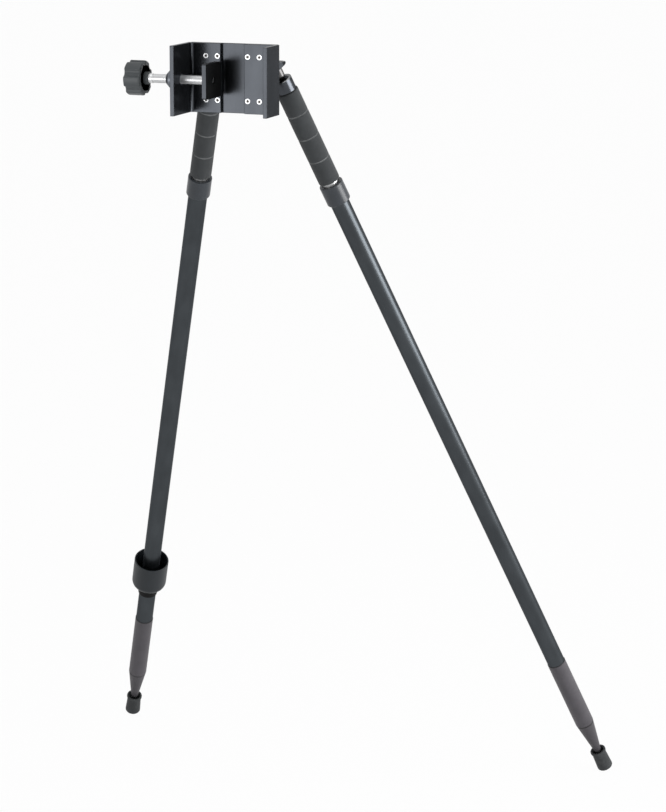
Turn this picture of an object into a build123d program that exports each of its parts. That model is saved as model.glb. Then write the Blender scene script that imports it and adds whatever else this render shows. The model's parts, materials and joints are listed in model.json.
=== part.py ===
from build123d import *

import os
from math import cos, radians, sin

# Leveling staff stand: a clamp head that grips the staff, and two telescopic legs on ball joints.
# Millimetres. +X runs from the knob towards the fixed jaw, +Y from the staff towards the legs, +Z up.
# The origin is the middle of the staff's seat: the front of the jaw feet, midway between the jaws.
# Sizes along a leg are stations, counted from the centre of its ball joint towards its foot.

# Clearances
running = 0.05  # a turning or sliding fit, on the radius
screw_recess = 0.15  # jaw screw heads below the staff's seat
end_float = 0.1  # axial play where a piece turns against a shoulder

# Clamp head: two L-shaped jaws on a base plate
head_height = 76.0
jaw_opening = 97.0
jaw_wall = 4.5
jaw_foot_thickness = 4.5
jaw_gap = 27.5
jaw_corner_radius = 3.5
jaw_edge_break = 0.5
screw_jaw_depth = 50.0
fixed_jaw_depth = 35.0
plate_thickness = 4.0
plate_inset = 2.5

# Jaw screws: countersunk, with a hexagon socket
jaw_screw_radius = 1.5
jaw_screw_head_radius = 3.0
jaw_screw_edge = 3.9
jaw_screw_pitch_x = 13.6
jaw_screw_pitch_z = 48.0
jaw_socket_radius = 1.2
jaw_socket_depth = 1.2
jaw_screw_spare = 0.5  # tapped hole beyond the screw's end

# Clamp screw, star knob and pressure pad
rod_radius = 4.95
rod_from_seat = 26.5
bush_length = 12.0
bush_shank_wall = 1.65  # through the flange
bush_tip_wall = 1.25
bush_cone = 3.6  # at the boss's end, on the radius and along the axis
knob_from_jaw = 37.9
knob_radius = 19.1
knob_thickness = 19.4
knob_lobes = 6
knob_phase = 159.0  # of one groove, from +Y towards +Z
knob_groove_radius = 5.0
knob_groove_depth = 2.8
knob_edge_radius = 2.0
knob_wall = 2.7
knob_web = 12.5
knob_boss_wall = 1.9
knob_boss_rise = 4.7  # beyond the knob's rim
hub_wall = 0.45
hub_length = 4.5
hub_lip = 0.25
pad_opening = 59.5
pad_depth = 39.0
pad_height = 38.0
pad_plate_thickness = 5.0
pad_rubber_thickness = 1.5
pad_corner_radius = 1.5
spigot_radius = 3.0
pad_screw_radius = 1.6
pad_screw_head_radius = 4.0
pad_screw_head_height = 2.0
pad_screw_length = 10.0
pad_screw_clearance = 0.5
pad_screw_slot = 1.2

# Hinge blocks behind the base plate
hinge_foot_thickness = 6.0
hinge_foot_margin = 6.0
hinge_edge_break = 1.0
tongue_radius = 12.0
tongue_root_radius = 12.5
tongue_thickness = 4.0  # under the stud's nut
tongue_top = 17.0  # its flat top, above the middle of the head
nut_spot_gap = 1.5  # between the nut's corners and the spot face's wall

# Ball joints
leg_splay = 29.3  # from the vertical
leg_heading = 34.6  # from straight back, outwards
ball_from_middle = 43.4
ball_behind_seat = 49.3
ball_below_middle = 11.8
ball_radius = 6.6
neck_radius = 2.75
neck_length = 26.3  # from the ball's centre to the tongue
shoulder_radius = 5.4
shoulder_length = 12.3
shoulder_cone = 4.5  # between the shoulder and the neck, along the stud
stud_radius = 3.0
nut_across_flats = 10.0
nut_thickness = 5.0
stud_end = 1.5
seat_wall = 1.45
seat_mouth_angle = 56.5
seat_drain_angle = 155.0

# Ball socket on top of each leg
socket_wall = 1.75  # around the ball seat
cap_rise = 10.5
cap_skirt = 4.5
cap_skirt_wall = 1.1
cap_throat_gap = 2.85  # between the neck and the cap's throat
cap_flare = 3.0  # depth of the coned mouth above the throat
cap_mouth_wall = 2.5
cap_edge_break = 0.8
plug_flange_thickness = 1.5
plug_length = 30.0

# Telescopic tubes
outer_tube_radius = 11.0
outer_tube_wall = 1.2
tube_gap = 0.3  # between the inner and the outer tube, on the radius
inner_tube_wall = 1.3
tube_end_clearance = 65.5  # between the guide bush and the end of the outer tube
guide_length = 15.0
guide_spigot = 20.0
guide_bore = 5.0

# Foam grip
grip_thickness = 3.0
grip_gap = 0.5
grip_length = 119.0
grip_grooves = 3
grip_groove_pitch = 30.0  # counted from the grip's lower end
grip_groove_width = 1.6
grip_groove_depth = 1.0
grip_edge = 1.2

# Twist lock at the top of each outer tube
collar_gap = 4.0
collar_length = 24.0
collar_wall = 1.4
collar_lip = 2.5
collar_chamfer = 1.2
thread_sleeve_wall = 1.35
thread_sleeve_length = 13.0
collet_length = 4.0
collet_drop = 1.0  # below the collar's mouth
collet_split = 1.0
collet_mouth = 0.8  # dark ring between the inner tube and the collar's mouth
collet_gap = 0.2

# Leg tip
visible_tube = 698.5
tip_sleeve_wall = 0.6
tip_edge = 0.8
tip_sleeve_length = 103.5
tube_in_sleeve = 27.0
tip_bore_step = 3.0  # under the end of the outer tube
tip_bore_length = 45.0
spike_radius = 4.0
spike_in_sleeve = 25.0
spike_point_radius = 1.2
spike_point_length = 5.0
cone_top_inset = 0.3
cone_length = 46.5
cone_end_wall = 0.7

# Rubber foot
foot_gap = 1.5  # between the cone's end and the foot's rim
foot_length = 29.0
foot_radius = 10.0  # of the rim and the tread
foot_waist_depth = 1.1
foot_rim = 3.0
foot_cup_wall = 2.4
foot_cup_depth = 9.0
foot_rounding = 2.5

# Bumper collar on the left leg
bumper_from_sleeve = 48.5
bumper_gap = 6.95  # between the bush and the cup's wall
bumper_length = 48.0
bumper_wall = 1.6
bumper_floor = 14.0
bumper_cone = 8.0  # length of the cone under the cup
bumper_land = 1.0  # of the cone's end, around the bush
bumper_bush_wall = 2.4
bumper_bush_rise = 4.0  # above the cup's floor
bumper_bush_neck = 10.5
bumper_bush_taper = 1.2  # of the neck, on the radius

# Sizes that follow from the driving dimensions
half_height = head_height / 2
half_opening = jaw_opening / 2
seat_back = jaw_foot_thickness
plate_back = seat_back + plate_thickness
hinge_back = plate_back + hinge_foot_thickness
jaw_screw_x = jaw_gap / 2 + jaw_screw_edge + jaw_screw_pitch_x / 2
jaw_screw_head_height = jaw_screw_head_radius - jaw_screw_radius
jaw_screw_length = hinge_back - screw_recess - jaw_screw_spare
jaw_outer_x = half_opening + jaw_wall
rod_y = -rod_from_seat
pad_face_x = half_opening - pad_opening
pad_front_x = pad_face_x - pad_rubber_thickness
pad_back_x = pad_front_x - pad_plate_thickness
knob_face_x = -jaw_outer_x - knob_from_jaw
knob_back_x = knob_face_x - knob_thickness
bush_shank_radius = rod_radius + bush_shank_wall
bush_tip_radius = rod_radius + bush_tip_wall
bush_radius = bush_tip_radius + bush_cone
knob_boss_radius = rod_radius + knob_boss_wall
knob_boss_x = knob_face_x + knob_boss_rise
hub_radius = rod_radius + hub_wall
seat_inner = ball_radius + running
seat_outer = seat_inner + seat_wall
cavity_radius = seat_outer + running
cap_bore = cavity_radius + socket_wall
cap_radius = cap_bore + cap_skirt_wall
cap_mouth_radius = cap_radius - cap_mouth_wall
cap_throat_radius = neck_radius + cap_throat_gap
outer_bore = outer_tube_radius - outer_tube_wall
inner_tube_radius = outer_bore - tube_gap
inner_bore = inner_tube_radius - inner_tube_wall
grip_start = cap_skirt + grip_gap
inner_tube_start = grip_start + plug_flange_thickness
grip_radius = inner_tube_radius + grip_thickness
grip_end = grip_start + grip_length
collar_start = grip_end + collar_gap
collar_end = collar_start + collar_length
thread_radius = outer_tube_radius + thread_sleeve_wall
collar_bore = thread_radius + running
collar_radius = collar_bore + collar_wall
collet_start = collar_start + collet_drop
outer_tube_start = collet_start + collet_length
sleeve_start = collar_end + visible_tube
outer_tube_end = sleeve_start + tube_in_sleeve
inner_tube_end = outer_tube_end - tube_end_clearance - guide_length
sleeve_end = sleeve_start + tip_sleeve_length
sleeve_radius = outer_tube_radius + tip_sleeve_wall
tip_bore_radius = outer_tube_radius - tip_bore_step
cone_end_radius = spike_radius + cone_end_wall
cone_end = sleeve_end + cone_length
foot_start = cone_end + foot_gap
foot_end = foot_start + foot_length
spike_end = foot_start + foot_cup_depth + spike_point_length + spike_radius
foot_waist_radius = foot_radius - foot_waist_depth
bumper_bush_radius = outer_tube_radius + running + bumper_bush_wall
bumper_radius = bumper_bush_radius + bumper_gap + bumper_wall
bumper_end = sleeve_start - bumper_from_sleeve - bumper_bush_neck
bumper_station = bumper_end - bumper_length
sides = {"left": -1, "right": 1}


def leg_direction(side):
    """Unit vector down the leg at rest."""
    splay, heading = radians(leg_splay), radians(leg_heading)
    return Vector(side * sin(splay) * sin(heading), sin(splay) * cos(heading), -cos(splay))


def ball_centre(side):
    return Vector(side * ball_from_middle, ball_behind_seat, -ball_below_middle)


def leg_axis(side):
    return Axis(ball_centre(side), leg_direction(side))


def leg_profile(side):
    """Plane through the leg's axis: X is the radius and Y the station."""
    heading = radians(leg_heading)
    across = Vector(side * cos(heading), -sin(heading), 0)
    return Plane(ball_centre(side), x_dir=across, z_dir=across.cross(leg_direction(side)))


def leg_section(side, station):
    """Plane square to the leg's axis, facing up the leg."""
    down = leg_direction(side)
    heading = radians(leg_heading)
    across = Vector(side * cos(heading), -sin(heading), 0)
    return Plane(ball_centre(side) + down * station, x_dir=across, z_dir=down * -1)


def save(piece, label):
    piece.part.label = label
    export_step(piece.part, f"parts/{label}.step")


def turned(label, profile, axis, outline):
    """A piece turned about an axis, from an outline on the profile plane."""
    with BuildPart() as piece:
        with BuildSketch(profile):
            with BuildLine():
                Polyline(*outline, close=True)
            make_face()
        revolve(axis=axis)
    save(piece, label)


def leg_turned(label, side, outline):
    """A piece turned about the leg's axis, from its (radius, station) outline."""
    turned(label, leg_profile(side), leg_axis(side), outline)


def jaw_screw_planes(y):
    """Planes at the eight jaw screws that face the staff."""
    return [
        Plane((side * (jaw_screw_x + dx), y, dz), x_dir=(1, 0, 0), z_dir=(0, -1, 0))
        for side in sides.values()
        for dx in (-jaw_screw_pitch_x / 2, jaw_screw_pitch_x / 2)
        for dz in (-jaw_screw_pitch_z / 2, jaw_screw_pitch_z / 2)
    ]


def own_screws(planes, side):
    return [plane for plane in planes if plane.origin.X * side > 0]


def rod_axis():
    return Axis((0, rod_y, 0), (1, 0, 0))


def rod_profile():
    """Plane through the clamp screw's axis: X along it and Y the radius."""
    return Plane((0, rod_y, 0), x_dir=(1, 0, 0), z_dir=(0, -1, 0))


def rod_turned(label, outline):
    """A piece turned about the clamp screw's axis, from its (x, radius) outline."""
    turned(label, rod_profile(), rod_axis(), outline)


# Clamp head


def make_jaw(label, side, depth):
    """An angle cut from an extruded bar, with countersunk holes in its foot."""
    inner, outer, foot_end_x = half_opening, jaw_outer_x, jaw_gap / 2
    corners = [
        (side * foot_end_x, 0),
        (side * inner, 0),
        (side * inner, -depth),
        (side * outer, -depth),
        (side * outer, seat_back),
        (side * foot_end_x, seat_back),
    ]
    planes = own_screws(jaw_screw_planes(screw_recess), side)
    with BuildPart() as jaw:
        with BuildSketch(Plane.XY.offset(-half_height)) as outline:
            with BuildLine():
                Polyline(*corners, close=True)
            make_face()
            root = outline.vertices().sort_by_distance((side * inner, 0, -half_height))[0]
            others = [vertex for vertex in outline.vertices() if vertex != root]
            chamfer(others, jaw_edge_break)
            root = outline.vertices().sort_by_distance((side * inner, 0, -half_height))[0]
            fillet(root, jaw_corner_radius)
        extrude(amount=head_height)
        ends = jaw.faces().filter_by(Axis.Z)
        chamfer(ends.edges(), jaw_edge_break)
        with Locations(*planes):
            Cylinder(jaw_screw_radius, 3 * jaw_foot_thickness, mode=Mode.SUBTRACT)
            Cylinder(
                jaw_screw_head_radius,
                screw_recess,
                align=(Align.CENTER, Align.CENTER, Align.MIN),
                mode=Mode.SUBTRACT,
            )
            Cone(
                jaw_screw_radius,
                jaw_screw_head_radius,
                jaw_screw_head_height,
                align=(Align.CENTER, Align.CENTER, Align.MAX),
                mode=Mode.SUBTRACT,
            )
        if side == sides["left"]:
            with BuildSketch(Plane((-jaw_outer_x, rod_y, 0), x_dir=(0, 1, 0), z_dir=(1, 0, 0))):
                Circle(bush_shank_radius)
            extrude(amount=jaw_wall, mode=Mode.SUBTRACT)
    save(jaw, label)


def make_base_plate():
    with BuildPart() as base_plate:
        with Locations((0, seat_back + plate_thickness / 2, 0)):
            Box(2 * (jaw_outer_x - plate_inset), plate_thickness, head_height)
        chamfer(base_plate.faces().sort_by(Axis.Y)[-1].edges(), jaw_edge_break)
        with Locations(*jaw_screw_planes(seat_back)):
            Cylinder(jaw_screw_radius, 3 * plate_thickness, mode=Mode.SUBTRACT)
    save(base_plate, "base_plate")


def make_jaw_screws():
    planes = jaw_screw_planes(screw_recess)
    with BuildPart() as jaw_screws:
        with Locations(*planes):
            Cylinder(
                jaw_screw_radius,
                jaw_screw_length,
                align=(Align.CENTER, Align.CENTER, Align.MAX),
            )
            Cone(
                jaw_screw_radius,
                jaw_screw_head_radius,
                jaw_screw_head_height,
                align=(Align.CENTER, Align.CENTER, Align.MAX),
            )
        with BuildSketch(*planes):
            RegularPolygon(jaw_socket_radius, 6)
        extrude(amount=-jaw_socket_depth, mode=Mode.SUBTRACT)
    save(jaw_screws, "jaw_screws")


def make_hinge_block(name, side):
    """A foot screwed behind the base plate, with a tongue: flat on top, and square to the leg below."""
    section = leg_section(side, -neck_length)
    foot_width = jaw_screw_pitch_x + 2 * hinge_foot_margin
    foot_height = jaw_screw_pitch_z + 2 * hinge_foot_margin
    origin, down = section.origin, leg_direction(side)
    root_x, root_y = side * jaw_screw_x, plate_back
    drop = ((root_x - origin.X) * down.X + (root_y - origin.Y) * down.Y) / down.Z
    root = section.to_local_coords(Vector(root_x, root_y, origin.Z - drop))
    rise = tongue_top - origin.Z + drop + tongue_root_radius
    behind = 4 * (ball_behind_seat + neck_length)
    nut_spot_radius = nut_across_flats / 2 / cos(radians(30)) + nut_spot_gap
    with BuildPart() as tongue:
        with BuildSketch(section):
            with BuildLine():
                CenterArc((0, 0), tongue_radius, 0, 360)
                CenterArc((root.X, root.Y), tongue_root_radius, 0, 360)
            make_hull()
        extrude(amount=2 * rise)
        with Locations((0, plate_back + behind / 2, tongue_top - behind / 2)):
            Box(behind, behind, behind, mode=Mode.INTERSECT)
        with BuildSketch(section):
            Circle(stud_radius)
        extrude(amount=2 * rise, mode=Mode.SUBTRACT)
        with BuildSketch(section.offset(tongue_thickness)):
            Circle(nut_spot_radius)
        extrude(amount=2 * rise, mode=Mode.SUBTRACT)
    with BuildPart() as hinge_block:
        with Locations((root_x, plate_back + hinge_foot_thickness / 2, 0)):
            Box(foot_width, hinge_foot_thickness, foot_height)
        chamfer(hinge_block.faces().sort_by(Axis.Y)[-1].edges(), hinge_edge_break)
        add(tongue.part)
        with Locations(*own_screws(jaw_screw_planes(plate_back), side)):
            Cylinder(jaw_screw_radius, 3 * hinge_foot_thickness, mode=Mode.SUBTRACT)
    save(hinge_block, f"{name}_hinge_block")


def make_ball_stud(name, side):
    """Ball, neck and shoulder in one turned piece, with a threaded end through the tongue."""
    thread_end = -neck_length - tongue_thickness - nut_thickness - stud_end
    shoulder_end = shoulder_length - neck_length
    outline = [
        (0, 0),
        (neck_radius, 0),
        (neck_radius, shoulder_end + shoulder_cone),
        (shoulder_radius, shoulder_end),
        (shoulder_radius, -neck_length),
        (stud_radius, -neck_length),
        (stud_radius, thread_end),
        (0, thread_end),
    ]
    with BuildPart() as ball_stud:
        with BuildSketch(leg_profile(side)):
            with BuildLine():
                Polyline(*outline, close=True)
            make_face()
        revolve(axis=leg_axis(side))
        with Locations(leg_section(side, 0)):
            Sphere(ball_radius)
    save(ball_stud, f"{name}_ball_stud")


def make_stud_nut(name, side):
    with BuildPart() as stud_nut:
        with BuildSketch(leg_section(side, -neck_length - tongue_thickness)):
            RegularPolygon(nut_across_flats / 2, 6, major_radius=False)
            Circle(stud_radius, mode=Mode.SUBTRACT)
        extrude(amount=nut_thickness)
    save(stud_nut, f"{name}_stud_nut")


# Clamp screw


def make_thread_bush():
    """Round boss with a coned end outside the screw jaw, and a shank through its flange."""
    bore = rod_radius + running
    tip_x = -jaw_outer_x - bush_length
    rod_turned(
        "thread_bush",
        [
            (-half_opening, bore),
            (-half_opening, bush_shank_radius),
            (-jaw_outer_x, bush_shank_radius),
            (-jaw_outer_x, bush_radius),
            (tip_x + bush_cone, bush_radius),
            (tip_x, bush_tip_radius),
            (tip_x, bore),
        ],
    )


def make_clamp_rod():
    """Screw with a reduced spigot that turns in the pressure plate."""
    shoulder_x = pad_back_x - end_float
    spigot_x = pad_front_x - pad_screw_head_height
    rod_start_x = knob_back_x + knob_web
    rod_turned(
        "clamp_rod",
        [
            (rod_start_x, 0),
            (rod_start_x, rod_radius),
            (shoulder_x, rod_radius),
            (shoulder_x, spigot_radius),
            (spigot_x, spigot_radius),
            (spigot_x, pad_screw_radius),
            (spigot_x - pad_screw_length, pad_screw_radius),
            (spigot_x - pad_screw_length, 0),
        ],
    )


def make_clamp_knob():
    """Star knob, hollow towards the jaw, with a boss around the rod that stands past its rim."""
    back = Plane((knob_back_x, rod_y, 0), x_dir=(0, 1, 0), z_dir=(1, 0, 0))
    groove_from_axis = knob_radius + knob_groove_radius - knob_groove_depth
    with BuildPart() as clamp_knob:
        with BuildSketch(back):
            Circle(knob_radius)
            with PolarLocations(groove_from_axis, knob_lobes, start_angle=knob_phase):
                Circle(knob_groove_radius, mode=Mode.SUBTRACT)
        extrude(amount=knob_thickness)
        rims = clamp_knob.faces().filter_by(Axis.X).edges()
        fillet(rims, knob_edge_radius)
        with BuildSketch(back.offset(knob_web)):
            Circle(knob_radius - knob_groove_depth - knob_wall)
        extrude(amount=knob_thickness, mode=Mode.SUBTRACT)
        with BuildSketch(back.offset(knob_web)):
            Circle(knob_boss_radius)
            Circle(rod_radius, mode=Mode.SUBTRACT)
        extrude(amount=knob_boss_x - knob_back_x - knob_web)
    save(clamp_knob, "clamp_knob")


def make_knob_hub():
    """Tapered metal ferrule on the rod, at the end of the knob's boss."""
    end_x = knob_boss_x + hub_length
    rod_turned(
        "knob_hub",
        [
            (knob_boss_x, rod_radius),
            (knob_boss_x, hub_radius),
            (knob_boss_x + hub_length / 2, hub_radius),
            (end_x, rod_radius + hub_lip),
            (end_x, rod_radius),
        ],
    )


def make_pressure_pad():
    """Metal plate on the rod's spigot, with a rubber face bonded to it."""
    plate = Plane((pad_back_x, rod_y, 0), x_dir=(0, 1, 0), z_dir=(1, 0, 0))
    recess = pad_screw_head_height + end_float
    recess_radius = pad_screw_head_radius + pad_screw_clearance
    with BuildPart() as pressure_plate:
        with BuildSketch(plate):
            RectangleRounded(pad_depth, pad_height, pad_corner_radius)
            Circle(spigot_radius + running, mode=Mode.SUBTRACT)
        extrude(amount=pad_plate_thickness)
        with BuildSketch(plate.offset(pad_plate_thickness - recess)):
            Circle(recess_radius)
        extrude(amount=recess, mode=Mode.SUBTRACT)
    save(pressure_plate, "pressure_plate")
    with BuildPart() as pad_rubber:
        with BuildSketch(plate.offset(pad_plate_thickness)):
            RectangleRounded(pad_depth, pad_height, pad_corner_radius)
            Circle(recess_radius, mode=Mode.SUBTRACT)
        extrude(amount=pad_rubber_thickness)
    save(pad_rubber, "pad_rubber")


def make_pad_screw():
    """Cheese-head screw that keeps the plate on the spigot, with a slot across its head."""
    head_x = pad_front_x - pad_screw_head_height
    slot_depth = pad_screw_head_height / 2
    with BuildPart() as pad_screw:
        with BuildSketch(rod_profile()):
            with BuildLine():
                Polyline(
                    (head_x - pad_screw_length, 0),
                    (head_x - pad_screw_length, pad_screw_radius),
                    (head_x, pad_screw_radius),
                    (head_x, pad_screw_head_radius),
                    (pad_front_x, pad_screw_head_radius),
                    (pad_front_x, 0),
                    close=True,
                )
            make_face()
        revolve(axis=rod_axis())
        with Locations((pad_front_x - slot_depth / 2, rod_y, 0)):
            Box(slot_depth, pad_screw_slot, 3 * pad_screw_head_radius, mode=Mode.SUBTRACT)
    save(pad_screw, "pad_screw")


# Leg tops


def on_sphere(radius, angle):
    """Outline point on a sphere around the ball's centre, by its angle from the neck."""
    return (radius * sin(radians(angle)), -radius * cos(radians(angle)))


def make_ball_seat(name, side):
    """Acetal shell between the ball and its socket, open for the neck and drained below."""
    middle = (seat_mouth_angle + seat_drain_angle) / 2
    outer = [on_sphere(seat_outer, angle) for angle in (seat_mouth_angle, middle, seat_drain_angle)]
    inner = [on_sphere(seat_inner, angle) for angle in (seat_drain_angle, middle, seat_mouth_angle)]
    with BuildPart() as ball_seat:
        with BuildSketch(leg_profile(side)):
            with BuildLine():
                ThreePointArc(*outer)
                Line(outer[-1], inner[0])
                ThreePointArc(*inner)
                Line(inner[-1], outer[0])
            make_face()
        revolve(axis=leg_axis(side))
    save(ball_seat, f"{name}_ball_seat")


def make_socket_cap(name, side):
    """Turned cap that closes the socket over the ball, with a coned mouth."""
    outline = [
        (cap_mouth_radius, -cap_rise),
        (cap_radius - cap_edge_break, -cap_rise),
        (cap_radius, cap_edge_break - cap_rise),
        (cap_radius, cap_skirt),
        (cap_bore, cap_skirt),
        (cap_bore, 0),
        (cap_throat_radius, 0),
        (cap_throat_radius, cap_flare - cap_rise),
    ]
    with BuildPart() as socket_cap:
        with BuildSketch(leg_profile(side)):
            with BuildLine():
                Polyline(*outline, close=True)
            make_face()
        revolve(axis=leg_axis(side))
        with Locations(leg_section(side, 0)):
            Sphere(cavity_radius, mode=Mode.SUBTRACT)
    save(socket_cap, f"{name}_socket_cap")


def make_socket_plug(name, side):
    """Lower half of the socket, with a flange on the inner tube's end and a plug inside it."""
    outline = [
        (0, 0),
        (cap_bore, 0),
        (cap_bore, grip_start),
        (inner_tube_radius, grip_start),
        (inner_tube_radius, inner_tube_start),
        (inner_bore, inner_tube_start),
        (inner_bore, inner_tube_start + plug_length),
        (0, inner_tube_start + plug_length),
    ]
    with BuildPart() as socket_plug:
        with BuildSketch(leg_profile(side)):
            with BuildLine():
                Polyline(*outline, close=True)
            make_face()
        revolve(axis=leg_axis(side))
        with Locations(leg_section(side, 0)):
            Sphere(cavity_radius, mode=Mode.SUBTRACT)
    save(socket_plug, f"{name}_socket_plug")


# Tubes, grip and twist lock


def ring(inner, outer, start, end):
    """Outline of a plain ring or tube."""
    return [(inner, start), (outer, start), (outer, end), (inner, end)]


def make_tubes(name, side):
    inner = ring(inner_bore, inner_tube_radius, inner_tube_start, inner_tube_end)
    outer = ring(outer_bore, outer_tube_radius, outer_tube_start, outer_tube_end)
    leg_turned(f"{name}_inner_tube", side, inner)
    leg_turned(f"{name}_outer_tube", side, outer)
    guide = outer_bore - running
    leg_turned(
        f"{name}_guide_bush",
        side,
        [
            (guide_bore, inner_tube_end - guide_spigot),
            (inner_bore, inner_tube_end - guide_spigot),
            (inner_bore, inner_tube_end),
            (guide, inner_tube_end),
            (guide, inner_tube_end + guide_length),
            (guide_bore, inner_tube_end + guide_length),
        ],
    )


def make_grip(name, side):
    """Foam sleeve, with grooves between its finger segments and rounded ends."""
    groove_floor = grip_radius - grip_groove_depth
    outline = [(inner_tube_radius, grip_start), (grip_radius - grip_edge, grip_start)]
    outline.append((grip_radius, grip_start + grip_edge))
    for count in range(grip_grooves, 0, -1):
        middle = grip_end - count * grip_groove_pitch
        outline += [
            (grip_radius, middle - grip_groove_width / 2),
            (groove_floor, middle),
            (grip_radius, middle + grip_groove_width / 2),
        ]
    outline += [
        (grip_radius, grip_end - grip_edge),
        (grip_radius - grip_edge, grip_end),
        (inner_tube_radius, grip_end),
    ]
    leg_turned(f"{name}_foam_grip", side, outline)


def make_twist_lock(name, side):
    """Collar that screws down on a sleeve and presses a split collet on the inner tube."""
    mouth = inner_tube_radius + collet_mouth
    wedge_end = outer_tube_start - collet_drop / 2
    collar_floor = collar_end - collar_lip
    tube_clear = outer_tube_radius + tube_gap
    leg_turned(
        f"{name}_lock_collar",
        side,
        [
            (mouth, collar_start),
            (collar_radius - collar_chamfer / 2, collar_start),
            (collar_radius, collar_start + collar_chamfer / 2),
            (collar_radius, collar_end - collar_chamfer),
            (collar_radius - collar_chamfer, collar_end),
            (tube_clear, collar_end),
            (tube_clear, collar_floor),
            (collar_bore, collar_floor),
            (collar_bore, wedge_end),
            (outer_tube_radius + collet_gap, wedge_end),
        ],
    )
    leg_turned(
        f"{name}_thread_sleeve",
        side,
        ring(outer_tube_radius, thread_radius, outer_tube_start, outer_tube_start + thread_sleeve_length),
    )
    grip_bore = inner_tube_radius + running
    with BuildPart() as collet:
        with BuildSketch(leg_profile(side)):
            with BuildLine():
                Polyline(
                    (grip_bore, collet_start),
                    (mouth - collet_gap, collet_start),
                    (outer_tube_radius - collet_gap, outer_tube_start),
                    (grip_bore, outer_tube_start),
                    close=True,
                )
            make_face()
        revolve(axis=leg_axis(side))
        with Locations(leg_section(side, collet_start)):
            Box(4 * outer_tube_radius, collet_split, collet_length, mode=Mode.SUBTRACT)
    save(collet, f"{name}_collet")


# Leg tips


def make_tip(name, side):
    """Moulded sleeve, cone and steel spike at the foot of the outer tube."""
    cone_start_radius = sleeve_radius - cone_top_inset
    leg_turned(
        f"{name}_tip_sleeve",
        side,
        [
            (outer_tube_radius, sleeve_start),
            (sleeve_radius - tip_sleeve_wall / 2, sleeve_start),
            (sleeve_radius, sleeve_start + tip_edge),
            (sleeve_radius, sleeve_end - tip_edge),
            (sleeve_radius - tip_edge / 2, sleeve_end),
            (spike_radius, sleeve_end),
            (spike_radius, sleeve_end - spike_in_sleeve),
            (0, sleeve_end - spike_in_sleeve),
            (0, outer_tube_end + tip_bore_length),
            (tip_bore_radius, outer_tube_end + tip_bore_length),
            (tip_bore_radius, outer_tube_end),
            (outer_tube_radius, outer_tube_end),
        ],
    )
    leg_turned(
        f"{name}_tip_cone",
        side,
        [
            (spike_radius, sleeve_end),
            (cone_start_radius - tip_edge / 2, sleeve_end),
            (cone_start_radius, sleeve_end + tip_edge),
            (cone_end_radius, cone_end),
            (spike_radius, cone_end),
        ],
    )
    leg_turned(
        f"{name}_tip_spike",
        side,
        [
            (0, sleeve_end - spike_in_sleeve),
            (spike_radius, sleeve_end - spike_in_sleeve),
            (spike_radius, spike_end - spike_point_length),
            (spike_point_radius, spike_end),
            (0, spike_end),
        ],
    )


def make_foot(name, side):
    """Moulded rubber cap pushed on the spike: rimmed cup, and a body that widens to the tread."""
    cup_radius = foot_radius - foot_cup_wall
    cup_floor = foot_start + foot_cup_depth
    tread_start = foot_end - foot_rounding
    tread_end_radius = foot_radius - foot_rounding
    with BuildPart() as rubber_foot:
        with BuildSketch(leg_profile(side)):
            with BuildLine():
                Polyline(
                    (0, foot_end),
                    (0, spike_end),
                    (spike_point_radius, spike_end),
                    (spike_radius, spike_end - spike_point_length),
                    (spike_radius, cup_floor),
                    (cup_radius, cup_floor),
                    (cup_radius, foot_start),
                    (foot_radius, foot_start),
                    (foot_radius, foot_start + foot_rim),
                    (foot_waist_radius, foot_start + foot_rim),
                    (foot_radius, tread_start),
                )
                RadiusArc((foot_radius, tread_start), (tread_end_radius, foot_end), -foot_rounding)
                Line((tread_end_radius, foot_end), (0, foot_end))
            make_face()
        revolve(axis=leg_axis(side))
    save(rubber_foot, f"{name}_rubber_foot")


def make_bumper():
    """Open cup with a coned underside, moulded on a bush that slides on the left outer tube."""
    side = sides["left"]
    cup_floor = bumper_end - bumper_floor
    leg_turned(
        "left_bumper_collar",
        side,
        [
            (bumper_bush_radius, bumper_end),
            (bumper_bush_radius, cup_floor),
            (bumper_radius - bumper_wall, cup_floor),
            (bumper_radius - bumper_wall, bumper_station),
            (bumper_radius, bumper_station),
            (bumper_radius, bumper_end - bumper_cone),
            (bumper_bush_radius + bumper_land, bumper_end),
        ],
    )
    bush_bore = outer_tube_radius + running
    leg_turned(
        "left_bumper_bush",
        side,
        [
            (bush_bore, cup_floor - bumper_bush_rise),
            (bumper_bush_radius, cup_floor - bumper_bush_rise),
            (bumper_bush_radius, bumper_end),
            (bumper_bush_radius - bumper_bush_taper, bumper_end + bumper_bush_neck),
            (bush_bore, bumper_end + bumper_bush_neck),
        ],
    )


os.makedirs("parts", exist_ok=True)
make_base_plate()
make_jaw("screw_jaw", sides["left"], screw_jaw_depth)
make_jaw("fixed_jaw", sides["right"], fixed_jaw_depth)
make_jaw_screws()
make_thread_bush()
make_clamp_rod()
make_clamp_knob()
make_knob_hub()
make_pressure_pad()
make_pad_screw()
for leg_name, leg_side in sides.items():
    make_hinge_block(leg_name, leg_side)
    make_ball_stud(leg_name, leg_side)
    make_stud_nut(leg_name, leg_side)
    make_ball_seat(leg_name, leg_side)
    make_socket_cap(leg_name, leg_side)
    make_socket_plug(leg_name, leg_side)
    make_tubes(leg_name, leg_side)
    make_grip(leg_name, leg_side)
    make_twist_lock(leg_name, leg_side)
    make_tip(leg_name, leg_side)
    make_foot(leg_name, leg_side)
make_bumper()
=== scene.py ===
# Leveling staff stand: a clamp head that grips the staff, and two telescopic legs on ball joints.
# Metres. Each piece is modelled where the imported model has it, and stands for the node of its name.
import json
from math import asin, ceil, cos, pi, radians, sin, sqrt, tau

import bmesh
import bpy
from mathutils import Matrix, Vector

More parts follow.
